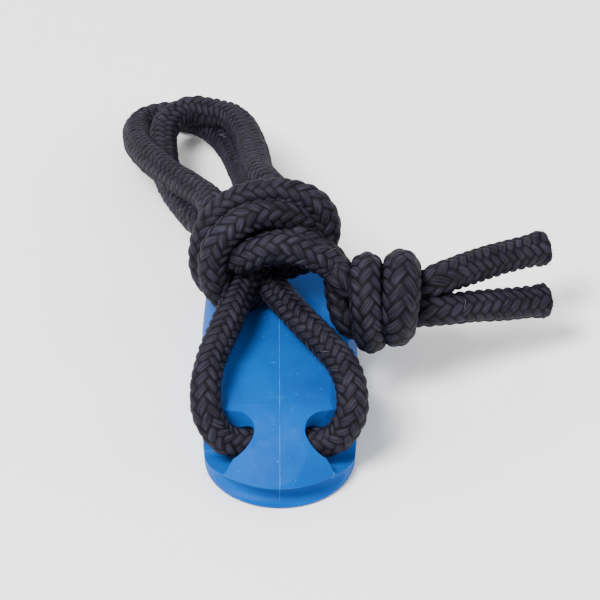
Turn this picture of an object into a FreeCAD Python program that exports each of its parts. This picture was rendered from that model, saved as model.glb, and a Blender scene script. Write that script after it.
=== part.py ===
"""Moulded cord lock on a knotted drawcord.

One elastomer lock, 60 mm long, lies on its flat base with its nose towards -Y. A 5 mm braided cord runs
across the nose through a hole, comes up out of a notch on each side, and its two halves are tied together
in a noose knot on the lock's back. The noose leaves a doubled loop behind the lock, and the two free ends
are joined by an overhand knot that lies on the lock's right shoulder.

Millimetres, +Z up, +Y from the nose to the tail. The origin is under the middle of the lock's base.
"""

import FreeCAD, Part  # in this order

import math
import os

V = FreeCAD.Vector

# The lock
LOCK_LENGTH = 60.0
MIDDLE_HALF_WIDTH = 12.5
END_RADIUS = 11.8
LOCK_HEIGHT = 10.8
BASE_EDGE_RADIUS = 0.7
SHOULDER_RADIUS = 6.6
SHOULDER_RISE = 0.5  # the shoulders' arc would end this far above the flat top, which cuts it off
CREASE_Y = -17.0  # the nose's slope starts at this line
NOSE_MIDDLE = (-24.0, 8.6)  # a point on the nose's slope, as (y, z)
NOSE_TIP_Z = 4.4
NOSE_DOME = ((5.0, 9.9), (9.06, 7.3), (11.95, 4.1))  # distance from the end's centre, and height

# The hole across the nose, and the notches that it opens into
HOLE_Y = -21.4
HOLE_Z = 5.9
HOLE_RADIUS = 2.9
NECK_HALF_WIDTH = 3.9
NOTCH_Y = -22.0
NOTCH_RADIUS = 3.3
NOTCH_BACK_FLARE = 1.9  # how far back the mouth has opened where it ends, beyond the lock's side
NOTCH_FRONT_FLARE = 8.0
NOTCH_FLOOR_Z = 3.1  # under the cord, beside the neck
NOTCH_FLOOR_FALL = 0.10  # downward, for each millimetre outward
NOTCH_FLOOR_RISE = 0.26  # upward, for each millimetre towards the nose
NOTCH_FLOOR_BLEND = 1.2

# The groove round the nose: a ring wider than the nose, so that it fades out at the sides
GROOVE_Z = 2.3
GROOVE_RADIUS = 1.8
GROOVE_RING_RADIUS = 17.5
GROOVE_INSET = 0.2

# The cord
CORD_DIAMETER = 5.0
CORD_RADIUS = CORD_DIAMETER / 2
LOOP_KNOT_CENTRE = V(-2.7, 10.0, 20.4)
LOOP_KNOT_HALF = V(12.0, 10.4, 9.2)
END_KNOT_CENTRE = V(16.0, 1.6, 16.2)
END_KNOT_HALF = V(7.6, 8.0, 8.0)

# The cord's route, in stretches. The two strands start in the lock's hole and run into the loop knot. The
# loops and the links start and end inside knots, and the tails leave the end knot and end free.
LEFT_STRAND = [
    (-4.0, -21.4, 5.9), (-9.0, -21.3, 6.6), (-11.5, -20.3, 11.4), (-11.5, -16.0, 14.2),
    (-10.5, -10.5, 15.0), (-9.0, -6.0, 15.6), (-7.6, -1.0, 16.0), (-6.4, 4.0, 15.8),
]
RIGHT_STRAND = [
    (4.0, -21.4, 5.9), (9.0, -21.3, 6.6), (11.4, -20.4, 11.3), (11.2, -16.9, 14.2),
    (9.8, -12.4, 15.0), (6.9, -7.6, 15.4), (3.4, -2.6, 15.9), (0.3, 2.4, 15.6),
]
OUTER_LOOP = [
    (-8.0, 17.6, 21.0), (-10.8, 24.4, 19.2), (-14.6, 32.3, 16.2), (-18.6, 40.4, 13.2), (-21.6, 48.0, 10.6),
    (-23.6, 55.6, 7.6), (-24.4, 63.0, 4.8), (-23.9, 68.8, 3.0), (-20.8, 71.2, 2.6), (-17.0, 71.4, 2.6),
    (-13.4, 69.0, 3.4), (-9.8, 62.0, 5.4), (-7.2, 52.0, 8.4), (-5.4, 40.0, 12.2), (-4.4, 29.5, 16.4),
    (-4.2, 19.0, 20.6),
]
INNER_LOOP = [
    (-8.8, 15.8, 17.2), (-12.4, 23.2, 15.0), (-15.4, 31.6, 12.8), (-17.6, 38.8, 11.2), (-18.9, 45.6, 9.8),
    (-19.5, 52.0, 8.6), (-19.8, 58.4, 7.9), (-18.6, 64.0, 8.0), (-15.0, 66.6, 8.6), (-10.8, 64.4, 9.4),
    (-6.8, 58.0, 11.4), (-4.6, 47.2, 14.4), (-3.2, 36.5, 18.0), (-2.2, 28.0, 21.2), (-1.6, 19.4, 23.0),
]
FRONT_LINK = [(0.3, 3.7, 25.3), (4.5, 3.7, 24.6), (8.5, 3.2, 22.8), (11.4, 1.8, 20.6)]
BACK_LINK = [(2.3, 8.3, 24.7), (6.3, 7.6, 22.7), (9.4, 6.4, 19.8), (10.8, 4.2, 17.2)]
UPPER_TAIL = [(20.0, 1.4, 19.0), (25.0, 3.6, 19.0), (31.4, 9.0, 17.4), (36.6, 13.6, 15.8), (42.2, 17.6, 14.4)]
LOWER_TAIL = [(20.0, 0.6, 15.0), (25.0, 0.6, 15.0), (31.6, 4.1, 13.2), (37.0, 6.5, 11.6), (42.0, 9.2, 10.2)]


def outline():
    """The lock's outline on the base: two barrel sides that run smoothly into two round ends."""
    tip = LOCK_LENGTH / 2
    round_y = tip - END_RADIUS
    bulge = MIDDLE_HALF_WIDTH - END_RADIUS
    side_radius = (round_y**2 + MIDDLE_HALF_WIDTH**2 - END_RADIUS**2) / (2 * bulge)
    join_x = END_RADIUS * (side_radius - MIDDLE_HALF_WIDTH) / (side_radius - END_RADIUS)
    join_y = round_y * side_radius / (side_radius - END_RADIUS)
    arcs = [
        Part.Arc(V(join_x, -join_y, 0), V(MIDDLE_HALF_WIDTH, 0, 0), V(join_x, join_y, 0)),
        Part.Arc(V(join_x, join_y, 0), V(0, tip, 0), V(-join_x, join_y, 0)),
        Part.Arc(V(-join_x, join_y, 0), V(-MIDDLE_HALF_WIDTH, 0, 0), V(-join_x, -join_y, 0)),
        Part.Arc(V(-join_x, -join_y, 0), V(0, -tip, 0), V(join_x, -join_y, 0)),
    ]
    return Part.Wire([arc.toShape() for arc in arcs])


def level_edges(shape, z):
    """The shape's edges that lie level at z."""
    return [e for e in shape.Edges if abs(e.BoundBox.ZMin - z) < 0.01 and abs(e.BoundBox.ZMax - z) < 0.01]


def blank():
    """The lock before anything is cut from it: round shoulders, and a flat top with a crisp edge."""
    full_height = LOCK_HEIGHT + SHOULDER_RISE
    shape = Part.Face(outline()).extrude(V(0, 0, full_height))
    shape = shape.makeFillet(SHOULDER_RADIUS, level_edges(shape, full_height))
    shape = shape.makeFillet(BASE_EDGE_RADIUS, level_edges(shape, 0))
    top = Part.makeBox(2 * LOCK_LENGTH, 2 * LOCK_LENGTH, 1, V(-LOCK_LENGTH, -LOCK_LENGTH, LOCK_HEIGHT))
    return shape.cut(top)


def nose_slope():
    """What the nose's slope takes away: everything above an arc from the crease to the tip."""
    tip_y = -LOCK_LENGTH / 2 - 1
    top_z = LOCK_HEIGHT + 5
    side_x = -MIDDLE_HALF_WIDTH - 2
    crease = V(side_x, CREASE_Y, LOCK_HEIGHT)
    tip = V(side_x, tip_y, NOSE_TIP_Z - 1)
    profile = [
        Part.Arc(crease, V(side_x, *NOSE_MIDDLE), tip).toShape(),
        Part.makeLine(tip, V(side_x, tip_y, top_z)),
        Part.makeLine(V(side_x, tip_y, top_z), V(side_x, CREASE_Y, top_z)),
        Part.makeLine(V(side_x, CREASE_Y, top_z), crease),
    ]
    return Part.Face(Part.Wire(profile)).extrude(V(-2 * side_x, 0, 0))


def nose_dome():
    """What rounds the nose's corners off: everything ahead of the hole above a dome of revolution."""
    inner, middle, outer = [V(r, 0, z) for r, z in NOSE_DOME]
    top_z = LOCK_HEIGHT + 2
    profile = [
        Part.Arc(inner, middle, outer).toShape(),
        Part.makeLine(outer, V(outer.x + 2, 0, outer.z)),
        Part.makeLine(V(outer.x + 2, 0, outer.z), V(outer.x + 2, 0, top_z)),
        Part.makeLine(V(outer.x + 2, 0, top_z), V(inner.x, 0, top_z)),
        Part.makeLine(V(inner.x, 0, top_z), inner),
    ]
    ring = Part.Face(Part.Wire(profile)).revolve(V(0, 0, 0), V(0, 0, 1), 360)
    ring.translate(V(0, END_RADIUS - LOCK_LENGTH / 2, 0))
    behind = Part.makeBox(2 * LOCK_LENGTH, LOCK_LENGTH, 2 * LOCK_HEIGHT, V(-LOCK_LENGTH, HOLE_Y, 0))
    return ring.cut(behind)


def notch_floor_z(x, y):
    """The height of a notch's sloping floor."""
    return NOTCH_FLOOR_Z - NOTCH_FLOOR_FALL * (x - NECK_HALF_WIDTH) - NOTCH_FLOOR_RISE * (y - HOLE_Y)


def notch(side):
    """What one notch takes away: a flared mouth with a sloping floor, and a trough under the cord."""
    round_x = NECK_HALF_WIDTH + NOTCH_RADIUS
    far_x = MIDDLE_HALF_WIDTH + 3
    front = V(side * round_x, NOTCH_Y - NOTCH_RADIUS, 0)
    back = V(side * round_x, NOTCH_Y + NOTCH_RADIUS, 0)
    far_front = V(side * far_x, NOTCH_Y - NOTCH_RADIUS - NOTCH_FRONT_FLARE, 0)
    far_back = V(side * far_x, NOTCH_Y + NOTCH_RADIUS + NOTCH_BACK_FLARE, 0)
    plan = [
        Part.Arc(front, V(side * NECK_HALF_WIDTH, NOTCH_Y, 0), back).toShape(),
        Part.makeLine(back, far_back),
        Part.makeLine(far_back, far_front),
        Part.makeLine(far_front, front),
    ]
    mouth = Part.Face(Part.Wire(plan)).extrude(V(0, 0, LOCK_HEIGHT + 2))
    near_x = NECK_HALF_WIDTH - 1
    past_x = far_x + 1
    under = [
        V(side * x, y, notch_floor_z(x, y))
        for x, y in ((near_x, 0), (past_x, 0), (past_x, -LOCK_LENGTH), (near_x, -LOCK_LENGTH))
    ]
    floor_face = Part.Face(Part.makePolygon(under + under[:1]))
    mouth = mouth.cut(floor_face.extrude(V(0, 0, -2 * LOCK_LENGTH)))
    floor = min(mouth.Faces, key=lambda face: face.CenterOfMass.z)
    walls = [e for e in floor.Edges if e.CenterOfMass.x * side < far_x - 0.1]
    mouth = mouth.makeFillet(NOTCH_FLOOR_BLEND, walls)
    trough = Part.makeCylinder(HOLE_RADIUS, round_x + 1, V(0, HOLE_Y, HOLE_Z), V(side, 0, 0))
    trough_end = Part.makeSphere(HOLE_RADIUS, V(side * (round_x + 1), HOLE_Y, HOLE_Z))
    return mouth.fuse(trough).fuse(trough_end)


def groove():
    """What the groove takes away."""
    ring_y = -LOCK_LENGTH / 2 + GROOVE_INSET + GROOVE_RING_RADIUS
    ring = Part.makeTorus(GROOVE_RING_RADIUS, GROOVE_RADIUS, V(0, ring_y, GROOVE_Z))
    behind = Part.makeBox(4 * GROOVE_RING_RADIUS, 4 * GROOVE_RING_RADIUS, 4 * GROOVE_RADIUS)
    behind.translate(V(-2 * GROOVE_RING_RADIUS, HOLE_Y, GROOVE_Z - 2 * GROOVE_RADIUS))
    return ring.cut(behind)


def lock_body():
    """The moulded lock."""
    shape = blank()
    for cutter in (nose_slope(), nose_dome(), notch(-1), notch(1), groove()):
        shape = shape.cut(cutter)
    return shape


def rounded_path(points):
    """Straight runs joined by tangent arcs, and the arcs' radii."""
    points = [V(*p) for p in points]
    runs = [b - a for a, b in zip(points, points[1:])]
    edges = []
    radii = []
    start = points[0]
    for corner, before, after in zip(points[1:], runs, runs[1:]):
        turn = before.getAngle(after)
        cut_back = 0.45 * min(before.Length, after.Length)
        radius = cut_back / math.tan(turn / 2)
        into = V(before).normalize()
        out = V(after).normalize()
        arc_start = corner - into * cut_back
        arc_end = corner + out * cut_back
        toward = (out - into).normalize()
        middle = corner + toward * (radius / math.cos(turn / 2) - radius)
        edges.append(Part.LineSegment(start, arc_start).toShape())
        edges.append(Part.Arc(arc_start, middle, arc_end).toShape())
        radii.append(radius)
        start = arc_end
    edges.append(Part.LineSegment(start, points[-1]).toShape())
    return Part.Wire(edges), radii


def cord(name, points):
    """One stretch of cord as a plain tube."""
    path, radii = rounded_path(points)
    direction = V(*points[1]) - V(*points[0])
    section = Part.Wire([Part.makeCircle(CORD_RADIUS, V(*points[0]), direction)])
    tube = path.makePipeShell([section], True, False)
    share = tube.Volume / (math.pi * CORD_RADIUS**2 * path.Length)
    print(f"{name}: {path.Length:.1f} mm, volume share {share:.3f}, radii {min(radii):.1f} to {max(radii):.1f}")
    return tube


def knot(centre, half):
    """A knot as one closed solid of its outer shape."""
    stretch = FreeCAD.Matrix(half.x, 0, 0, centre.x, 0, half.y, 0, centre.y, 0, 0, half.z, centre.z, 0, 0, 0, 1)
    return Part.makeSphere(1).transformGeometry(stretch)


def main():
    """Builds every node and writes it as parts/NODE.step."""
    nodes = {
        "lock_body": lock_body(),
        "lock_bight": cord("lock_bight", LEFT_STRAND[::-1] + RIGHT_STRAND),
        "loop_knot": knot(LOOP_KNOT_CENTRE, LOOP_KNOT_HALF),
        "outer_loop": cord("outer_loop", OUTER_LOOP),
        "inner_loop": cord("inner_loop", INNER_LOOP),
        "front_link": cord("front_link", FRONT_LINK),
        "back_link": cord("back_link", BACK_LINK),
        "end_knot": knot(END_KNOT_CENTRE, END_KNOT_HALF),
        "upper_tail": cord("upper_tail", UPPER_TAIL),
        "lower_tail": cord("lower_tail", LOWER_TAIL),
    }
    os.makedirs("parts", exist_ok=True)
    for name, shape in nodes.items():
        print(f"{name}: valid {shape.isValid()}, {len(shape.Solids)} solid, {shape.Volume:.0f} mm3")
        shape.exportStep(f"parts/{name}.step")


main()
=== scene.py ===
"""Looks of a moulded cord lock that is threaded on a knotted braided cord.

The lock itself is the CAD solid with a moulded finish. The cord is one length of black braid, made as two
halves that meet in the middle of the lock's hole. Both are tied together in a loop knot on the lock's back,
leave a doubled loop behind it, and are joined again by a stopper knot before their cut ends.

Metres, +Z up, +Y from the lock's nose to its tail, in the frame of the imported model.
"""

import logging
import math
from collections.abc import Iterable, Sequence
from dataclasses import dataclass, field
from enum import Enum

import bpy
import numpy as np
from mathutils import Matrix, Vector


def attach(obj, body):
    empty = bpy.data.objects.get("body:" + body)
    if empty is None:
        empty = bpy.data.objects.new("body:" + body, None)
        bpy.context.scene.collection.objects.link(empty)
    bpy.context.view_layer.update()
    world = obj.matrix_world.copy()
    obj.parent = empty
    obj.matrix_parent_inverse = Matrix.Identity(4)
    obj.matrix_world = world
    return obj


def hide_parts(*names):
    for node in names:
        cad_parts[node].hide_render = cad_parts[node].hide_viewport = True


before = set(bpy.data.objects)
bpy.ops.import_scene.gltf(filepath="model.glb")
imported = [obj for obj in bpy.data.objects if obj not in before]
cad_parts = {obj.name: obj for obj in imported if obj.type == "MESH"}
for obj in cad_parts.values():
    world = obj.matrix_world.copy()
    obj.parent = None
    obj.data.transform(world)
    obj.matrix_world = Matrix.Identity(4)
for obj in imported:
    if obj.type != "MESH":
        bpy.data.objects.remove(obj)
log = logging.getLogger("cord_lock")

Point = tuple[float, float, float]
Colour = tuple[float, float, float, float]
LINE_RESOLUTION = 48  # steps on a cord's line for each control point
SAME_PLACE = 1e-7  # points nearer than this, in metres, are one point


class Body(str, Enum):
    """The CAD bodies that pieces ride on."""

    LOCK = "lock"
    CORD = "cord"


class Slot(str, Enum):
    """The record's material slots."""

    LOCK = "lock"
    CORD = "cord"


class Value:
    """A number in a material's node tree. Arithmetic on it adds Math nodes."""

    def __init__(self, graph: "Graph", socket: bpy.types.NodeSocket) -> None:
        """Wraps one output socket of the graph."""
        self.graph = graph
        self.socket = socket

    def math(self, operation: str, *others: "Value | float") -> "Value":
        """Adds a Math node that takes this value first.

        Args:
            operation: the Math node's operation.
            *others: the node's further inputs.

        Returns:
            The node's result.
        """
        return self.graph.math(operation, self, *others)

    def __add__(self, other: "Value | float") -> "Value":
        """This value plus another."""
        return self.math("ADD", other)

    def __radd__(self, other: float) -> "Value":
        """A number plus this value."""
        return self.math("ADD", other)

    def __sub__(self, other: "Value | float") -> "Value":
        """This value less another."""
        return self.math("SUBTRACT", other)

    def __rsub__(self, other: float) -> "Value":
        """A number less this value."""
        return self.graph.math("SUBTRACT", other, self)

    def __mul__(self, other: "Value | float") -> "Value":
        """This value times another."""
        return self.math("MULTIPLY", other)

    def __rmul__(self, other: float) -> "Value":
        """A number times this value."""
        return self.math("MULTIPLY", other)

    def __abs__(self) -> "Value":
        """This value without its sign."""
        return self.math("ABSOLUTE")

    def floor(self) -> "Value":
        """The whole number below this value."""
        return self.math("FLOOR")

    def ramp(self, low: float, high: float) -> "Value":
        """Makes a smooth step of this value.

        Args:
            low: where the step is 0.
            high: where the step is 1, which may be below low.

        Returns:
            The step.
        """
        settings = {"interpolation_type": "SMOOTHSTEP"}
        inputs = {"Value": self, "From Min": low, "From Max": high}
        return self.graph.value("ShaderNodeMapRange", settings, inputs, "Result")


class Graph:
    """One material and the nodes that make it."""

    def __init__(self, name: str) -> None:
        """Starts a material that holds only its Principled shader and its output.

        Args:
            name: the material's name.
        """
        self.material = bpy.data.materials.new(name)
        self.material.use_nodes = True
        self.tree = self.material.node_tree
        self.shader = self.tree.nodes["Principled BSDF"]

    def node(self, kind: str, settings: dict[str, object], inputs: dict[str | int, object]) -> bpy.types.Node:
        """Adds a node.

        Args:
            kind: the node's type.
            settings: its own properties, which are set first.
            inputs: what its input sockets hold or are linked to.

        Returns:
            The node.
        """
        made = self.tree.nodes.new(kind)
        for name, setting in settings.items():
            setattr(made, name, setting)
        for name, given in inputs.items():
            self.feed(made.inputs[name], given)
        return made

    def feed(self, socket: bpy.types.NodeSocket, given: object) -> None:
        """Links a value or a socket to an input, or writes a constant on it.

        Args:
            socket: the input.
            given: the value, the output socket or the constant.
        """
        if isinstance(given, Value):
            self.tree.links.new(given.socket, socket)
        elif isinstance(given, bpy.types.NodeSocket):
            self.tree.links.new(given, socket)
        else:
            socket.default_value = given

    def value(
        self, kind: str, settings: dict[str, object], inputs: dict[str | int, object], output: str | int
    ) -> Value:
        """Adds a node and gives one of its outputs as a value to calculate with."""
        return Value(self, self.node(kind, settings, inputs).outputs[output])

    def math(self, operation: str, *given: Value | float) -> Value:
        """Adds a Math node and gives its result."""
        return self.value("ShaderNodeMath", {"operation": operation}, dict(enumerate(given)), 0)

    def place(self) -> bpy.types.NodeSocket:
        """The place on the object, in metres."""
        return self.node("ShaderNodeTexCoord", {}, {}).outputs["Object"]

    def axes(self, vector: bpy.types.NodeSocket) -> tuple[Value, Value, Value]:
        """A vector's three numbers."""
        parts = self.node("ShaderNodeSeparateXYZ", {}, {"Vector": vector})
        return tuple(Value(self, parts.outputs[axis]) for axis in "XYZ")

    def noise(self, vector: bpy.types.NodeSocket, scale: float, detail: float = 2.0) -> Value:
        """Soft noise about 0.5."""
        inputs = {"Vector": vector, "Scale": scale, "Detail": detail, "Roughness": 0.55}
        return self.value("ShaderNodeTexNoise", {}, inputs, "Fac")

    def mix(self, share: Value, first: object, second: object) -> bpy.types.NodeSocket:
        """A colour between two others.

        Args:
            share: 0 for the first and 1 for the second.
            first: a colour or a colour socket.
            second: a colour or a colour socket.

        Returns:
            The mixed colour.
        """
        settings = {"data_type": "RGBA", "clamp_factor": True}
        return self.node("ShaderNodeMix", settings, {0: share, 6: first, 7: second}).outputs[2]

    def bump(
        self, height: Value, depth: float, strength: float, under: bpy.types.NodeSocket | None = None
    ) -> bpy.types.NodeSocket:
        """A surface normal that follows a height.

        Args:
            height: the height, 0 to 1.
            depth: how deep a height of 1 is, in metres.
            strength: the share of it that shows.
            under: another bump's normal, which this one goes on.

        Returns:
            The normal.
        """
        inputs: dict[str | int, object] = {"Height": height, "Distance": depth, "Strength": strength}
        if under is not None:
            inputs["Normal"] = under
        return self.node("ShaderNodeBump", {}, inputs).outputs["Normal"]

    def finish(self, **inputs: object) -> bpy.types.Material:
        """Feeds the Principled shader.

        Args:
            **inputs: what each of its sockets holds, with underscores for the spaces in its name.

        Returns:
            The finished material.
        """
        for name, given in inputs.items():
            self.feed(self.shader.inputs[name.replace("_", " ")], given)
        return self.material


@dataclass(frozen=True)
class MouldedElastomer:
    """The lock's satin moulded finish."""

    name: str = "lock_elastomer"
    bright: Colour = (0.0, 0.076, 0.330, 1.0)
    deep: Colour = (0.0, 0.055, 0.270, 1.0)
    dust: Colour = (0.04, 0.22, 0.52, 1.0)
    flash: Colour = (0.03, 0.17, 0.46, 1.0)
    # crease: a line across the top, bumped, and darkened with painted shade where the slope changes
    crease_y: float = -0.0170
    crease_half_width: float = 0.00022
    crease_core: float = 0.00004  # half the width of the painted shade that is darkest
    top_z: float = 0.0108
    roughness: float = 0.50
    gloss: float = 0.06
    tone_scale: float = 90.0
    wave_scale: float = 240.0
    scuff_scale: float = 420.0
    speck_scale: float = 1150.0
    grain_scale: float = 2600.0

    def material(self) -> bpy.types.Material:
        """Builds the finish: soft tone changes, a fine grain, specks of dust, and a line of painted shade
        along the crease.

        Returns:
            The lock's material.
        """
        graph = Graph(self.name)
        place = graph.place()
        tone = graph.noise(place, self.tone_scale, 3.0)
        grain = graph.noise(place, self.grain_scale, 2.0)
        wave = graph.noise(place, self.wave_scale, 2.0)
        _, along, up = graph.axes(place)
        on_top = up.ramp(self.top_z - 0.0003, self.top_z - 0.0002)
        crease = abs(along - self.crease_y).ramp(self.crease_half_width, self.crease_core) * on_top
        speck = graph.noise(place, self.speck_scale, 1.0).ramp(0.735, 0.775)
        scuff = graph.noise(place, self.scuff_scale, 4.0).ramp(0.56, 0.74)
        colour = graph.mix(tone.ramp(0.3, 0.7), self.bright, self.deep)
        colour = graph.mix(scuff * 0.10, colour, self.dust)
        colour = graph.mix(speck * 0.55, colour, self.dust)
        # painted shade: along the crease line the colour goes towards the deep blue
        colour = graph.mix(crease * 0.45, colour, self.deep)
        normal = graph.bump(wave, depth=0.00012, strength=0.35)
        normal = graph.bump(grain, depth=0.00002, strength=0.45, under=normal)
        normal = graph.bump(1 - crease, depth=0.00008, strength=0.6, under=normal)
        return graph.finish(
            Base_Color=colour,
            Roughness=self.roughness + (grain - 0.5) * 0.16 + scuff * 0.10,
            Normal=normal,
            Specular_IOR_Level=self.gloss,
            Subsurface_Weight=0.12,
            Subsurface_Radius=(0.2, 0.5, 1.0),
            Subsurface_Scale=0.0015,
        )

    def flash_material(self) -> bpy.types.Material:
        """Builds the paler finish of the thin flash that the mould's joint leaves.

        Returns:
            The flash's material.
        """
        graph = Graph(self.name + "_flash")
        patch = graph.noise(graph.place(), 320.0, 3.0).ramp(0.35, 0.65)
        colour = graph.mix(patch, self.bright, self.flash)
        return graph.finish(Base_Color=colour, Roughness=self.roughness + patch * 0.1)


@dataclass(frozen=True)
class BraidFinish:
    """Black spun filament. It reads the yarn map, across in U and along in V, and the braid's height."""

    name: str = "black_braid"
    filament: Colour = (0.0036, 0.0030, 0.0062, 1.0)
    # pale: the colour of the painted filament sheen; the loose fibres start from it too
    pale: Colour = (0.031, 0.028, 0.045, 1.0)
    # painted shade for the low places between the yarns, where the braid's height is small
    valley_shade: Colour = (0.0004, 0.0004, 0.0008, 1.0)
    loose: Colour = (0.12, 0.115, 0.15, 1.0)
    map_name: str = "yarns"
    height_name: str = "braid_height"
    filaments_across: float = 9.0  # streaks across one yarn, which paint the filaments' sheen
    strands_across: float = 3.4
    roughness: float = 0.62
    gloss: float = 0.08

    def material(self) -> bpy.types.Material:
        """Builds the finish: filaments along each yarn with a painted sheen, and painted shade in the valleys
        between the yarns.

        Returns:
            The braid's material.
        """
        graph = Graph(self.name)
        yarns = graph.node("ShaderNodeUVMap", {"uv_map": self.map_name}, {}).outputs["UV"]
        across, along, _ = graph.axes(yarns)
        fine = self.streaks(graph, across * self.filaments_across, along * 0.42, 3.0)
        coarse = self.streaks(graph, across * self.strands_across, along * 0.3, 1.0)
        flat = {"noise_dimensions": "1D"}
        own = graph.value("ShaderNodeTexWhiteNoise", flat, {"W": across.floor()}, "Value")
        height = graph.value("ShaderNodeAttribute", {"attribute_name": self.height_name}, {}, "Fac")
        wear = graph.noise(graph.place(), 210.0, 2.0).ramp(0.35, 0.75)
        # painted sheen: the streaks lift the colour towards pale, together with each yarn's own tone and some
        # wear
        light = fine.ramp(0.40, 0.70) * 0.66 + own * 0.14 + wear * 0.20
        colour = graph.mix(light, self.filament, self.pale)
        # painted shade: where the braid is low, the colour goes towards the valley shade
        colour = graph.mix(height.ramp(0.58, 0.12), colour, self.valley_shade)
        normal = graph.bump(coarse, depth=0.00010, strength=0.5)
        normal = graph.bump(fine, depth=0.00006, strength=0.85, under=normal)
        return graph.finish(
            Base_Color=colour,
            Roughness=self.roughness + (fine - 0.5) * 0.3,
            Normal=normal,
            Specular_IOR_Level=self.gloss,
        )

    def streaks(self, graph: Graph, across: Value, along: Value, detail: float) -> Value:
        """Makes noise that is drawn out along the yarns.

        Args:
            graph: the material.
            across: the place across the yarn.
            along: the place along the yarn.
            detail: how fine the noise is.

        Returns:
            The noise.
        """
        spread = graph.node("ShaderNodeCombineXYZ", {}, {"X": across, "Y": along}).outputs[0]
        return graph.noise(spread, 1.0, detail)

    def fibre_material(self) -> bpy.types.Material:
        """Builds the finish of single loose fibres, which look paler than the braid.

        Returns:
            The fibres' material.
        """
        graph = Graph(self.name + "_fibre")
        patch = graph.noise(graph.place(), 400.0, 1.0).ramp(0.35, 0.65)
        return graph.finish(Base_Color=graph.mix(patch, self.pale, self.loose), Roughness=0.5)


def deselect() -> None:
    """Leaves object mode with nothing selected."""
    if bpy.context.object is not None and bpy.context.object.mode != "OBJECT":
        bpy.ops.object.mode_set(mode="OBJECT")
    bpy.ops.object.select_all(action="DESELECT")


def mesh_piece(name: str, points: np.ndarray, faces: Sequence[Sequence[int]]) -> bpy.types.Object:
    """Makes an object from vertices and faces, shaded smooth.

    Args:
        name: the object's name.
        points: one row for each vertex, in metres.
        faces: vertex numbers of each face.

    Returns:
        The object, in the scene.
    """
    mesh = bpy.data.meshes.new(name)
    mesh.from_pydata(np.asarray(points).tolist(), [], [list(face) for face in faces])
    mesh.polygons.foreach_set("use_smooth", [True] * len(mesh.polygons))
    mesh.update()
    made = bpy.data.objects.new(name, mesh)
    bpy.context.scene.collection.objects.link(made)
    return made


def spline_line(name: str, route: Sequence[Point]) -> np.ndarray:
    """Lays a NURBS spline with the route's points as its control points and reads its line.

    Args:
        name: a name for the curve while it is needed.
        route: the control points.

    Returns:
        The line's points in order.
    """
    curve = bpy.data.curves.new(name, "CURVE")
    curve.dimensions = "3D"
    spline = curve.splines.new("NURBS")
    spline.points.add(len(route) - 1)
    for control, place in zip(spline.points, route):
        control.co = (*place, 1.0)
    spline.order_u = 3
    spline.use_endpoint_u = True
    spline.resolution_u = LINE_RESOLUTION
    holder = bpy.data.objects.new(name, curve)
    bpy.context.scene.collection.objects.link(holder)
    read = bpy.data.meshes.new_from_object(holder)
    line = np.array([vertex.co for vertex in read.vertices], float)
    bpy.data.objects.remove(holder)
    bpy.data.curves.remove(curve)
    bpy.data.meshes.remove(read)
    keep = np.r_[True, np.linalg.norm(np.diff(line, axis=0), axis=1) > SAME_PLACE]
    return line[keep]


def stations(line: np.ndarray, step: float) -> np.ndarray:
    """Divides a line into even steps.

    Args:
        line: the line's points.
        step: the distance from station to station, in metres.

    Returns:
        The stations, one row each.
    """
    travelled = np.r_[0.0, np.cumsum(np.linalg.norm(np.diff(line, axis=0), axis=1))]
    wanted = np.arange(0.0, travelled[-1], step)
    return np.stack([np.interp(wanted, travelled, line[:, axis]) for axis in range(3)], axis=1)


def cross_frames(line: np.ndarray) -> tuple[np.ndarray, np.ndarray, np.ndarray]:
    """Cross-section axes that don't twist about the line.

    Args:
        line: the line's points.

    Returns:
        The tangents and the two cross axes, one row for each point.
    """
    tangents = np.gradient(line, axis=0)
    tangents /= np.linalg.norm(tangents, axis=1)[:, None]
    side = np.cross(tangents[0], (0.0, 0.3, 1.0))
    sides = [side / np.linalg.norm(side)]
    for tangent in tangents[1:]:
        side = sides[-1] - tangent * (sides[-1] @ tangent)
        sides.append(side / np.linalg.norm(side))
    across = np.array(sides)
    return tangents, across, np.cross(tangents, across)


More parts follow.
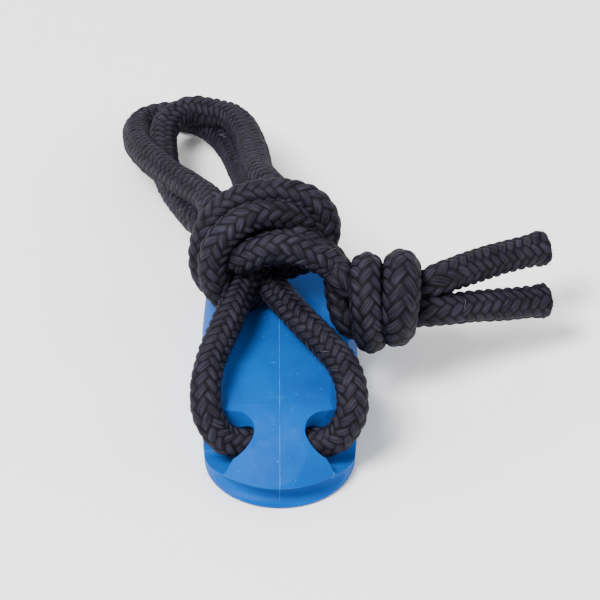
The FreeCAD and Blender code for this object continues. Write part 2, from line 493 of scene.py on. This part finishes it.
@dataclass(frozen=True)
class Braid:
    """A plait of sixteen yarns, eight each way round, that go over two and under two."""

    radius: float = 0.00262
    relief: float = 0.00040
    yarns_each_way: int = 8
    advance: float = 0.0018  # along the cord, from one yarn to the next
    divisions: int = 6  # steps across one yarn
    core_share: float = 0.30  # height left where a yarn dives under
    unevenness: float = 0.30  # how much lower the lowest yarn lies than the highest
    roundness: float = 3.8  # how steeply a yarn falls away to its edges

    @property
    def around(self) -> int:
        """Steps round the cord."""
        return self.yarns_each_way * self.divisions

    @property
    def step(self) -> float:
        """The distance from ring to ring."""
        return self.advance / self.divisions

    def right_on_top(self, right: np.ndarray, left: np.ndarray) -> np.ndarray:
        """Says where the right-handed yarns lie on top, from the yarns' whole numbers."""
        return (right + left) % 4 < 2

    def lottery(self, right: np.ndarray, left: np.ndarray, top: np.ndarray) -> np.ndarray:
        """Gives each stitch a number from 0 to 1 that looks drawn by lot, the same on every run.

        Args:
            right: the right-handed yarns' whole numbers.
            left: the left-handed yarns' whole numbers.
            top: where the right-handed yarn is on top.

        Returns:
            The numbers.
        """
        stitch = (right % self.yarns_each_way) * 12.9 + left * 78.2 + top * 3.7
        return np.modf(abs(np.sin(stitch)) * 437.5)[0]

    def height(self, ring: np.ndarray, turn: np.ndarray) -> np.ndarray:
        """The yarns' height at places on the braid, 0 in the valleys to 1 on top.

        Args:
            ring: ring numbers.
            turn: step numbers round the cord.

        Returns:
            The heights.
        """
        size = self.divisions
        right, left = turn + ring, turn - ring
        best = np.zeros(np.broadcast(ring, turn).shape)
        for back_right in (0, 1):
            for back_left in (0, 1):
                on_right_edge = (back_right == 0) | (right % size == 0)
                on_left_edge = (back_left == 0) | (left % size == 0)
                right_yarn = right // size - back_right
                left_yarn = left // size - back_left
                right_share = right / size - right_yarn
                left_share = left / size - left_yarn
                top = self.right_on_top(right_yarn, left_yarn)
                stitch = (left_yarn + right_yarn) % 4
                across = np.where(top, right_share, left_share) - 0.5
                ahead = np.where(top, stitch + left_share, stitch - 2 + right_share)
                rise = self.core_share + (1 - self.core_share) * np.sin(np.pi * ahead / 2).clip(0)
                crown = np.sqrt((1 - self.roundness * across**2).clip(0))
                lower = 1 - self.unevenness * self.lottery(right_yarn, left_yarn, top)
                best = np.maximum(best, np.where(on_right_edge & on_left_edge, crown * rise * lower, 0))
        return best


@dataclass(frozen=True)
class Swell:
    """A stretch where the braid is wider or slimmer than usual."""

    start: float
    end: float
    gain: float
    ease: float = 0.004

    def at(self, along: np.ndarray) -> np.ndarray:
        """Says how much this stretch adds to the radius.

        Args:
            along: distances along the cord, in metres.

        Returns:
            The shares of the radius to add.
        """
        begun = np.clip((along - self.start) / self.ease, 0, 1)
        left = np.clip((self.end - along) / self.ease, 0, 1)
        inside = begun * left
        return self.gain * inside * inside * (3 - 2 * inside)


@dataclass
class CordHalf:
    """One half of the cord: a braided tube from the middle of the lock's hole to its cut end."""

    name: str
    route: tuple[Point, ...]
    stands_for: tuple[str, ...]
    length: float
    swells: tuple[Swell, ...] = ()
    braid: Braid = Braid()
    finish: BraidFinish = BraidFinish()
    diameter: float = 0.005
    waves: tuple[Point, ...] = ((0.012, 410.0, 1.0), (0.010, 173.0, 2.1))  # size, rate, and start per seed
    flare: float = 0.14
    flare_length: float = 0.0030
    cut_rings: tuple[float, ...] = (0.9, 0.72, 0.5, 0.27)  # the cut face's rings, as shares of the radius
    cut_roughness: float = 0.00024
    cut_height: float = 0.45  # the braid height that the cut face is given
    yarn_edge: float = 0.02  # the margin of each yarn on the map
    seed: int = 1
    line: np.ndarray = field(init=False, repr=False)
    tangents: np.ndarray = field(init=False, repr=False)
    across: np.ndarray = field(init=False, repr=False)
    upward: np.ndarray = field(init=False, repr=False)

    def build(self) -> bpy.types.Object:
        """Builds and dresses this half, and keeps its centre line and cross axes.

        Returns:
            The cord's piece.
        """
        line = stations(spline_line(self.name + "_line", self.route), self.braid.step)
        tangents, across, upward = cross_frames(line)
        around, rings = self.braid.around, len(line)
        ring, turn = np.meshgrid(np.arange(rings), np.arange(around), indexing="ij")
        height = self.braid.height(ring, turn)
        radius = self.radii(np.arange(rings) * self.braid.step)[:, None] - self.braid.relief * (1 - height)
        angle = turn * 2 * math.pi / around
        outward = np.cos(angle)[..., None] * across[:, None] + np.sin(angle)[..., None] * upward[:, None]
        points = (line[:, None] + outward * radius[..., None]).reshape(-1, 3)
        faces, maps = self.skin(rings)
        heights = height.ravel()
        self.line, self.tangents, self.across, self.upward = line, tangents, across, upward
        for at_start in (True, False):
            cap_points, cap_faces, cap_maps = self.cap(radius, len(points), at_start)
            points = np.vstack([points, cap_points])
            faces += cap_faces
            maps += cap_maps
            heights = np.r_[heights, np.full(len(cap_points), self.cut_height)]
        made = mesh_piece(self.name, points, faces)
        self.dress(made, maps, heights)
        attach(made, Body.CORD.value)
        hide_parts(*self.stands_for)
        log.info("%s: %d faces, %.1f mm", made.name, len(faces), rings * self.braid.step * 1000)
        return made

    def radii(self, along: np.ndarray) -> np.ndarray:
        """Works out the braid's outer radius, a little uneven, and flared at the cut end.

        Args:
            along: distances along this half, in metres.

        Returns:
            The radius at each.
        """
        uneven = sum(size * np.sin(along * rate + start * self.seed) for size, rate, start in self.waves)
        for swell in self.swells:
            uneven = uneven + swell.at(along)
        to_end = np.clip(1 - (along[-1] - along) / self.flare_length, 0, 1)
        return self.braid.radius * (1 + uneven + self.flare * to_end**2)

    def skin(self, rings: int) -> tuple[list[tuple[int, int, int]], list[tuple[float, float]]]:
        """The tube's triangles, split along the yarns' edges, and their yarn map.

        Args:
            rings: how many rings the tube has.

        Returns:
            The triangles, and the map's place for each of their corners in turn.
        """
        size, around = self.braid.divisions, self.braid.around
        faces: list[tuple[int, int, int]] = []
        maps: list[tuple[float, float]] = []
        for i in range(rings - 1):
            for j in range(around):
                corners = ((i, j), (i, j + 1), (i + 1, j + 1), (i + 1, j))
                split = ((0, 1, 2), (0, 2, 3)) if (j - i) % size == 0 else ((0, 1, 3), (1, 2, 3))
                for pick in split:
                    triangle = [corners[k] for k in pick]
                    faces.append(tuple(r * around + t % around for r, t in triangle))
                    maps += self.yarn_places(triangle)
        return faces, maps

    def yarn_places(self, triangle: Sequence[tuple[int, int]]) -> list[tuple[float, float]]:
        """Finds a triangle's corners on the yarn map: across the top yarn in U, along the cord in V.

        Args:
            triangle: its corners' ring and step numbers.

        Returns:
            Their places on the map.
        """
        size, count = self.braid.divisions, self.braid.yarns_each_way
        right = [(t + r) / size for r, t in triangle]
        left = [(t - r) / size for r, t in triangle]
        right_yarn = math.floor(sum(right) / 3)
        left_yarn = math.floor(sum(left) / 3)
        if self.braid.right_on_top(right_yarn, left_yarn):
            start, yarn, first = right, right_yarn, 0
        else:
            start, yarn, first = left, left_yarn, count
        inner = 1 - 2 * self.yarn_edge
        return [
            (first + yarn % count + self.yarn_edge + inner * (place - yarn), 2 * r / size)
            for place, (r, _) in zip(start, triangle)
        ]

    def cap(
        self, radius: np.ndarray, first: int, at_start: bool
    ) -> tuple[np.ndarray, list[tuple[int, ...]], list[tuple[float, float]]]:
        """Closes one end with the rough face that a cut leaves.

        Args:
            radius: the tube's radius at each ring and step.
            first: the number of the cap's first vertex.
            at_start: whether this is the end in the lock's hole.

        Returns:
            The cap's vertices, its faces and their yarn map.
        """
        around = self.braid.around
        end = 0 if at_start else len(self.line) - 1
        rough = 0.0 if at_start else self.cut_roughness
        centre_point = self.line[end]
        away = self.tangents[end] * (-1.0 if at_start else 1.0)
        random = np.random.default_rng(self.seed * 7 + end)
        angle = np.arange(around) * 2 * math.pi / around
        outward = np.outer(np.cos(angle), self.across[end]) + np.outer(np.sin(angle), self.upward[end])
        points = []
        for share in self.cut_rings:
            push = rough * (random.random(around) - 0.45 + 0.5 * np.sin(angle * 8 + share * 20))
            points.append(centre_point + outward * (radius[end] * share)[:, None] + np.outer(push, away))
        points.append((centre_point + away * rough * 0.4)[None])
        loops = [[end * around + j for j in range(around)]]
        loops += [[first + k * around + j for j in range(around)] for k in range(len(self.cut_rings))]
        centre = first + len(self.cut_rings) * around
        faces: list[tuple[int, ...]] = []
        for outer, inner in zip(loops, loops[1:]):
            for j in range(around):
                after = (j + 1) % around
                faces.append((outer[j], inner[j], inner[after], outer[after]))
        for j in range(around):
            faces.append((loops[-1][j], centre, loops[-1][(j + 1) % around]))
        if not at_start:
            faces = [face[::-1] for face in faces]
        maps = [(0.5 + (k % 7) * 0.31, 0.37 * (k % 5)) for face in faces for k in range(len(face))]
        return np.vstack(points), faces, maps

    def dress(self, made: bpy.types.Object, maps: list[tuple[float, float]], heights: np.ndarray) -> None:
        """Gives the piece its yarn map, its height attribute and its finish.

        Args:
            made: the piece.
            maps: the map's place for each corner of its faces.
            heights: the braid's height at each vertex.
        """
        layer = made.data.uv_layers.new(name=self.finish.map_name)
        layer.data.foreach_set("uv", np.asarray(maps, np.float32).ravel())
        kept = made.data.attributes.new(self.finish.height_name, "FLOAT", "POINT")
        kept.data.foreach_set("value", heights.astype(np.float32))
        made.data.materials.append(self.finish.material())

    def declare(self, made: bpy.types.Object, pieces: Iterable[bpy.types.Object]) -> None:
        """Does nothing but read the route's first point.

        Args:
            made: the cord's piece; not used.
            pieces: the pieces that go with it; not used.
        """
        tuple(self.route[0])


@dataclass
class LooseFibres:
    """Fine fibres that stand off the braid: a fringe on the cut end, and a few along the cord."""

    name: str
    half: CordHalf
    fringe: int = 90
    strays: int = 26
    thickness: float = 0.00004
    thinning: float = 0.6  # the share of its thickness that a fibre has lost at its tip
    seed: int = 3

    def build(self) -> bpy.types.Object:
        """Builds the fibres as thin three-sided spikes and dresses them.

        Returns:
            The fibres' piece.
        """
        random = np.random.default_rng(self.seed)
        points: list[np.ndarray] = []
        faces: list[tuple[int, ...]] = []
        for _ in range(self.fringe):
            self.add(points, faces, self.fringe_fibre(random))
        for _ in range(self.strays):
            self.add(points, faces, self.stray_fibre(random))
        made = mesh_piece(self.name, np.array(points), faces)
        made.data.materials.append(self.half.finish.fibre_material())
        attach(made, Body.CORD.value)
        log.info("%s: %d fibres", made.name, self.fringe + self.strays)
        return made

    def fringe_fibre(self, random: np.random.Generator) -> np.ndarray:
        """Draws a fibre on the cut end, out of the rim and outward.

        Args:
            random: the source of its place, length and lean.

        Returns:
            The points of its line.
        """
        half = self.half
        angle = random.uniform(0, 2 * math.pi)
        outward = math.cos(angle) * half.across[-1] + math.sin(angle) * half.upward[-1]
        reach = half.braid.radius * (1 + half.flare) * random.uniform(0.55, 1.0)
        foot = half.line[-1] + outward * reach - half.tangents[-1] * 0.0003
        long = random.uniform(0.0005, 0.0011)
        splay = random.uniform(0.0, 0.55)
        wander = random.normal(0, 0.16, 3)
        steps = np.linspace(0, 1, 4)[:, None]
        return foot + long * (steps * half.tangents[-1] + splay * steps**2 * outward + steps**2 * wander)

    def stray_fibre(self, random: np.random.Generator) -> np.ndarray:
        """Draws a fibre on the cord's side, a low bow that starts among the yarns and stands off.

        Args:
            random: the source of its place, length and lean.

        Returns:
            The points of its line.
        """
        half = self.half
        at = int(random.uniform(0.05, 0.97) * len(half.line))
        angle = random.uniform(0, 2 * math.pi)
        outward = math.cos(angle) * half.across[at] + math.sin(angle) * half.upward[at]
        sideways = np.cross(half.tangents[at], outward)
        foot = half.line[at] + outward * (half.braid.radius - 0.0003)
        lean = random.uniform(0, 2 * math.pi)
        along = math.cos(lean) * half.tangents[at] + math.sin(lean) * sideways
        long = random.uniform(0.0008, 0.0024)
        bow = random.uniform(0.25, 0.7)
        steps = np.linspace(0, 1, 6)[:, None]
        return foot + long * (steps * along * 0.8 + np.sin(steps * math.pi * 0.62) * bow * outward)

    def add(self, points: list[np.ndarray], faces: list[tuple[int, ...]], line: np.ndarray) -> None:
        """Adds one fibre along a line, thinning to its tip.

        Args:
            points: the vertices so far, which grow.
            faces: the faces so far, which grow.
            line: the fibre's line.
        """
        _, across, upward = cross_frames(line)
        first = len(points)
        for k, place in enumerate(line):
            thick = self.thickness * (1 - self.thinning * k / (len(line) - 1))
            for side in range(3):
                angle = side * 2 * math.pi / 3
                points.append(place + thick * (math.cos(angle) * across[k] + math.sin(angle) * upward[k]))
        for k in range(len(line) - 1):
            for side in range(3):
                after = (side + 1) % 3
                low, high = first + 3 * k, first + 3 * k + 3
                faces.append((low + side, low + after, high + after, high + side))
        last = first + 3 * (len(line) - 1)
        faces.append((first + 2, first + 1, first))
        faces.append((last, last + 1, last + 2))


@dataclass
class LockBody:
    """The moulded lock, and the thin flash that its mould leaves along the middle."""

    node: str = "lock_body"
    finish: MouldedElastomer = MouldedElastomer()
    flash_radius: float = 0.00006
    hole: tuple[float, float] = (-0.0214, 0.0059)
    hole_clearance: float = 0.00305
    flash_start: Point = (0.0, -0.029, 0.001)  # nothing of the flash is lower
    flash_end: Point = (0.0, 0.004, 0.009)  # nothing of it is further back
    merge_distance: float = 0.000001
    flash_offset: float = 0.00002  # keeps the cut off the solid's own middle edges
    base_height: float = 0.0012
    base_start: float = -0.028  # further back than this, what is below base_height is the base

    def dress(self) -> None:
        """Gives the CAD solid its moulded finish."""
        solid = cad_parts[self.node]
        solid.data.materials.clear()
        solid.data.materials.append(self.finish.material())
        log.info("%s: dressed", self.node)

    def build_flash(self) -> bpy.types.Object:
        """Builds the flash: the solid's middle section as a thin bead on its nose and its back.

        Returns:
            The flash's piece.
        """
        deselect()
        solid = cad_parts[self.node]
        made = bpy.data.objects.new("mould_flash", solid.data.copy())
        bpy.context.scene.collection.objects.link(made)
        made.data.materials.clear()
        bpy.context.view_layer.objects.active = made
        made.select_set(True)
        bpy.ops.object.mode_set(mode="EDIT")
        bpy.ops.mesh.select_all(action="SELECT")
        bpy.ops.mesh.remove_doubles(threshold=self.merge_distance)
        middle = (self.flash_offset, 0, 0)
        bpy.ops.mesh.bisect(plane_co=middle, plane_no=(1, 0, 0), clear_inner=True, clear_outer=True)
        bpy.ops.mesh.select_all(action="SELECT")
        bpy.ops.mesh.bisect(plane_co=self.flash_start, plane_no=(0, 0, 1), clear_inner=True)
        bpy.ops.mesh.select_all(action="SELECT")
        bpy.ops.mesh.bisect(plane_co=self.flash_end, plane_no=(0, 1, 0), clear_outer=True)
        bpy.ops.object.mode_set(mode="OBJECT")
        self.drop_hole_rim(made)
        bpy.ops.object.convert(target="CURVE")
        made = bpy.context.object
        made.data.bevel_depth = self.flash_radius
        made.data.bevel_resolution = 2
        made.data.use_fill_caps = True
        bpy.ops.object.convert(target="MESH")
        made = bpy.context.object
        made.data.materials.clear()
        made.data.materials.append(self.finish.flash_material())
        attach(made, Body.LOCK.value)
        deselect()
        log.info("%s: %d faces", made.name, len(made.data.polygons))
        return made

    def drop_hole_rim(self, made: bpy.types.Object) -> None:
        """Deletes the section's edges round the cross hole and on the base, which have no flash.

        Args:
            made: the section.
        """
        for vertex in made.data.vertices:
            inside = (vertex.co - Vector((vertex.co.x, *self.hole))).length < self.hole_clearance
            under = vertex.co.z < self.base_height and vertex.co.y > self.base_start
            vertex.select = inside or under
        bpy.ops.object.mode_set(mode="EDIT")
        bpy.ops.mesh.delete(type="VERT")
        bpy.ops.object.mode_set(mode="OBJECT")


@dataclass
class SoftBox:
    """A square studio lamp."""

    name: str
    place: Point
    size: float
    power: float
    aim: Point = (0.0, 0.01, 0.01)

    def build(self) -> None:
        """Hangs the lamp and turns it to its aim."""
        lamp = bpy.data.lights.new(self.name, "AREA")
        lamp.shape = "SQUARE"
        lamp.size = self.size
        lamp.energy = self.power
        made = bpy.data.objects.new(self.name, lamp)
        made.location = self.place
        made.rotation_euler = (Vector(self.aim) - Vector(self.place)).to_track_quat("-Z", "Y").to_euler()
        bpy.context.scene.collection.objects.link(made)


@dataclass
class Studio:
    """A pale floor, soft light and the camera."""

    floor_size: float = 6.0
    floor_z: float = -0.00002  # just under the lock's base, so that the two don't coincide
    floor_colour: Colour = (0.96, 0.96, 0.965, 1.0)
    sky: Colour = (1.0, 1.0, 1.0, 1.0)
    sky_strength: float = 0.78
    camera_place: Point = (0.0, -0.5219, 0.4228)
    camera_tilt: float = 52.18  # degrees, up from straight down
    camera_turn: float = -0.36  # degrees
    lens: float = 251.9  # millimetres
    sensor: float = 36.0
    lamps: tuple[SoftBox, ...] = (
        SoftBox("key_lamp", (-0.38, -0.42, 0.85), 0.38, 23.0),
        SoftBox("fill_lamp", (0.75, -0.15, 0.6), 0.7, 4.0),
        SoftBox("back_lamp", (-0.2, 0.75, 0.75), 0.6, 4.0),
    )

    def build(self) -> None:
        """Builds the whole studio."""
        self.build_floor()
        self.build_world()
        self.build_camera()
        for lamp in self.lamps:
            lamp.build()
        log.info("studio: floor, sky, camera and %d lamps", len(self.lamps))

    def build_floor(self) -> None:
        """Lays the floor just under the object."""
        deselect()
        bpy.ops.mesh.primitive_plane_add(size=self.floor_size, location=(0, 0, self.floor_z))
        floor = bpy.context.object
        floor.name = "floor"
        bpy.ops.object.transform_apply(location=True, rotation=True, scale=True)
        graph = Graph("floor_paper")
        floor.data.materials.append(graph.finish(Base_Color=self.floor_colour, Roughness=0.9))

    def build_world(self) -> None:
        """Makes an even pale sky."""
        world = bpy.data.worlds.new("sky")
        world.use_nodes = True
        background = world.node_tree.nodes["Background"]
        background.inputs["Color"].default_value = self.sky
        background.inputs["Strength"].default_value = self.sky_strength
        bpy.context.scene.world = world

    def build_camera(self) -> None:
        """Sets the camera above the lock's nose, far off, with a long lens."""
        camera = bpy.data.cameras.new("camera")
        camera.lens = self.lens
        camera.sensor_width = self.sensor
        camera.clip_start = 0.01
        made = bpy.data.objects.new("camera", camera)
        made.location = self.camera_place
        made.rotation_euler = (math.radians(self.camera_tilt), 0, math.radians(self.camera_turn))
        bpy.context.scene.collection.objects.link(made)
        bpy.context.scene.camera = made


# The left half's control points, from the middle of the lock's hole to the lower tail's cut end.
LEFT_ROUTE: tuple[Point, ...] = (
    # out of the lock's hole, up its left notch and over its back
    (0.0000, -0.0214, 0.0059), (-0.0040, -0.0214, 0.0059), (-0.0090, -0.0213, 0.0066),
    (-0.0115, -0.0203, 0.0114), (-0.0115, -0.0160, 0.0142), (-0.0105, -0.0105, 0.0150),
    (-0.0090, -0.0060, 0.0156), (-0.0076, -0.0010, 0.0160),
    # round the loop knot for the first time
    (-0.0063, 0.0046, 0.0158), (-0.0051, 0.0073, 0.0175), (-0.0032, 0.0099, 0.0179),
    (0.0003, 0.0110, 0.0185), (0.0041, 0.0114, 0.0208), (0.0045, 0.0113, 0.0241), (0.0009, 0.0100, 0.0269),
    (-0.0035, 0.0089, 0.0278), (-0.0073, 0.0075, 0.0266), (-0.0099, 0.0059, 0.0238),
    (-0.0106, 0.0045, 0.0201), (-0.0096, 0.0041, 0.0161), (-0.0069, 0.0052, 0.0137),
    (-0.0035, 0.0073, 0.0135), (-0.0005, 0.0108, 0.0145), (-0.0018, 0.0130, 0.0153),
    (-0.0057, 0.0131, 0.0160), (-0.0089, 0.0144, 0.0175), (-0.0103, 0.0186, 0.0200),
    # the outer loop, out and back
    (-0.0108, 0.0244, 0.0192), (-0.0146, 0.0323, 0.0162), (-0.0186, 0.0404, 0.0132),
    (-0.0216, 0.0480, 0.0106), (-0.0236, 0.0556, 0.0076), (-0.0244, 0.0630, 0.0048),
    (-0.0239, 0.0688, 0.0030), (-0.0208, 0.0712, 0.0026), (-0.0170, 0.0714, 0.0026),
    (-0.0134, 0.0690, 0.0034), (-0.0098, 0.0620, 0.0054), (-0.0072, 0.0520, 0.0084),
    (-0.0054, 0.0400, 0.0122), (-0.0044, 0.0295, 0.0164),
    # through the loop knot again and along the back link
    (-0.0029, 0.0207, 0.0201), (-0.0025, 0.0170, 0.0216), (-0.0045, 0.0138, 0.0222),
    (-0.0051, 0.0106, 0.0230), (-0.0021, 0.0091, 0.0237), (0.0015, 0.0088, 0.0239),
    (0.0055, 0.0077, 0.0223), (0.0093, 0.0067, 0.0195),
    # the stopper knot's left belt
    (0.0097, 0.0036, 0.0158), (0.0106, 0.0015, 0.0127), (0.0124, 0.0024, 0.0103), (0.0138, 0.0066, 0.0125),
    (0.0141, 0.0070, 0.0174), (0.0138, 0.0039, 0.0212), (0.0136, -0.0006, 0.0220),
    (0.0138, -0.0044, 0.0184), (0.0142, -0.0044, 0.0131), (0.0148, -0.0006, 0.0110),
    (0.0168, 0.0021, 0.0123), (0.0202, 0.0016, 0.0141), (0.0245, 0.0004, 0.0152),
    # the lower tail
    (0.0316, 0.0041, 0.0132), (0.0368, 0.0064, 0.0117), (0.0425, 0.0094, 0.0101),
)

# The right half's control points, from the same place to the upper tail's cut end.
RIGHT_ROUTE: tuple[Point, ...] = (
    # out of the lock's hole, up its right notch and over its back
    (0.0000, -0.0214, 0.0059), (0.0040, -0.0214, 0.0059), (0.0090, -0.0213, 0.0066),
    (0.0114, -0.0204, 0.0113), (0.0112, -0.0169, 0.0142), (0.0098, -0.0124, 0.0150),
    (0.0069, -0.0076, 0.0154), (0.0034, -0.0026, 0.0159),
    # round the loop knot for the first time
    (-0.0005, 0.0063, 0.0144), (-0.0019, 0.0090, 0.0158), (-0.0002, 0.0110, 0.0160),
    (0.0038, 0.0112, 0.0172), (0.0070, 0.0111, 0.0201), (0.0077, 0.0120, 0.0240), (0.0053, 0.0132, 0.0276),
    (-0.0001, 0.0145, 0.0282), (-0.0063, 0.0142, 0.0272), (-0.0106, 0.0122, 0.0246),
    (-0.0120, 0.0100, 0.0210), (-0.0118, 0.0080, 0.0166), (-0.0093, 0.0086, 0.0137),
    (-0.0045, 0.0113, 0.0136), (-0.0011, 0.0145, 0.0147), (-0.0011, 0.0185, 0.0168),
    (-0.0045, 0.0203, 0.0179), (-0.0091, 0.0211, 0.0182),
    # the inner loop, out and back
    (-0.0124, 0.0232, 0.0150), (-0.0154, 0.0316, 0.0128), (-0.0176, 0.0388, 0.0112),
    (-0.0189, 0.0456, 0.0098), (-0.0195, 0.0520, 0.0086), (-0.0198, 0.0584, 0.0079),
    (-0.0185, 0.0632, 0.0078), (-0.0150, 0.0656, 0.0082), (-0.0110, 0.0634, 0.0090),
    (-0.0068, 0.0580, 0.0114), (-0.0046, 0.0472, 0.0144), (-0.0037, 0.0365, 0.0180),
    (-0.0031, 0.0285, 0.0210),
    # through the loop knot again and along the front link
    (-0.0008, 0.0212, 0.0241), (0.0002, 0.0176, 0.0239), (-0.0001, 0.0144, 0.0219),
    (-0.0027, 0.0112, 0.0202), (-0.0060, 0.0076, 0.0200), (-0.0064, 0.0052, 0.0215),
    (-0.0031, 0.0043, 0.0242), (0.0009, 0.0041, 0.0252), (0.0049, 0.0036, 0.0240), (0.0089, 0.0034, 0.0217),
    # the stopper knot's right belt
    (0.0100, 0.0011, 0.0206), (0.0134, 0.0018, 0.0176), (0.0168, 0.0012, 0.0151), (0.0194, 0.0021, 0.0115),
    (0.0200, 0.0067, 0.0130), (0.0197, 0.0069, 0.0172), (0.0192, 0.0043, 0.0213), (0.0193, -0.0006, 0.0223),
    (0.0189, -0.0040, 0.0189), (0.0185, -0.0034, 0.0148), (0.0185, -0.0001, 0.0120),
    (0.0197, 0.0029, 0.0122), (0.0216, 0.0040, 0.0163), (0.0248, 0.0029, 0.0193),
    # the upper tail
    (0.0314, 0.0092, 0.0174), (0.0366, 0.0136, 0.0158), (0.0422, 0.0176, 0.0144),
)


@dataclass
class Cord:
    """The whole cord: two halves that meet in the lock's hole, and their loose fibres."""

    halves: tuple[CordHalf, ...] = (
        CordHalf(
            name="cord_left_half",
            route=LEFT_ROUTE,
            stands_for=("lock_bight", "outer_loop", "back_link", "lower_tail", "loop_knot"),
            length=0.330,
            swells=(Swell(0.265, 0.292, 0.09), Swell(0.297, 0.337, 0.03)),
            seed=1,
        ),
        CordHalf(
            name="cord_right_half",
            route=RIGHT_ROUTE,
            stands_for=("inner_loop", "front_link", "upper_tail", "end_knot"),
            length=0.335,
            swells=(Swell(0.270, 0.303, 0.22), Swell(0.309, 0.342, 0.06)),
            seed=2,
        ),
    )

    def build(self) -> None:
        for half in self.halves:
            made = half.build()
            fibres = LooseFibres(name=half.name + "_fibres", half=half, seed=half.seed + 10).build()
            half.declare(made, [fibres])


def main() -> None:
    """Builds the studio, the lock and the cord."""
    logging.basicConfig(level=logging.INFO, format="%(message)s")
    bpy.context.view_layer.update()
    Studio().build()
    lock = LockBody()
    lock.dress()
    lock.build_flash()
    Cord().build()


if __name__ == "__main__":
    main()
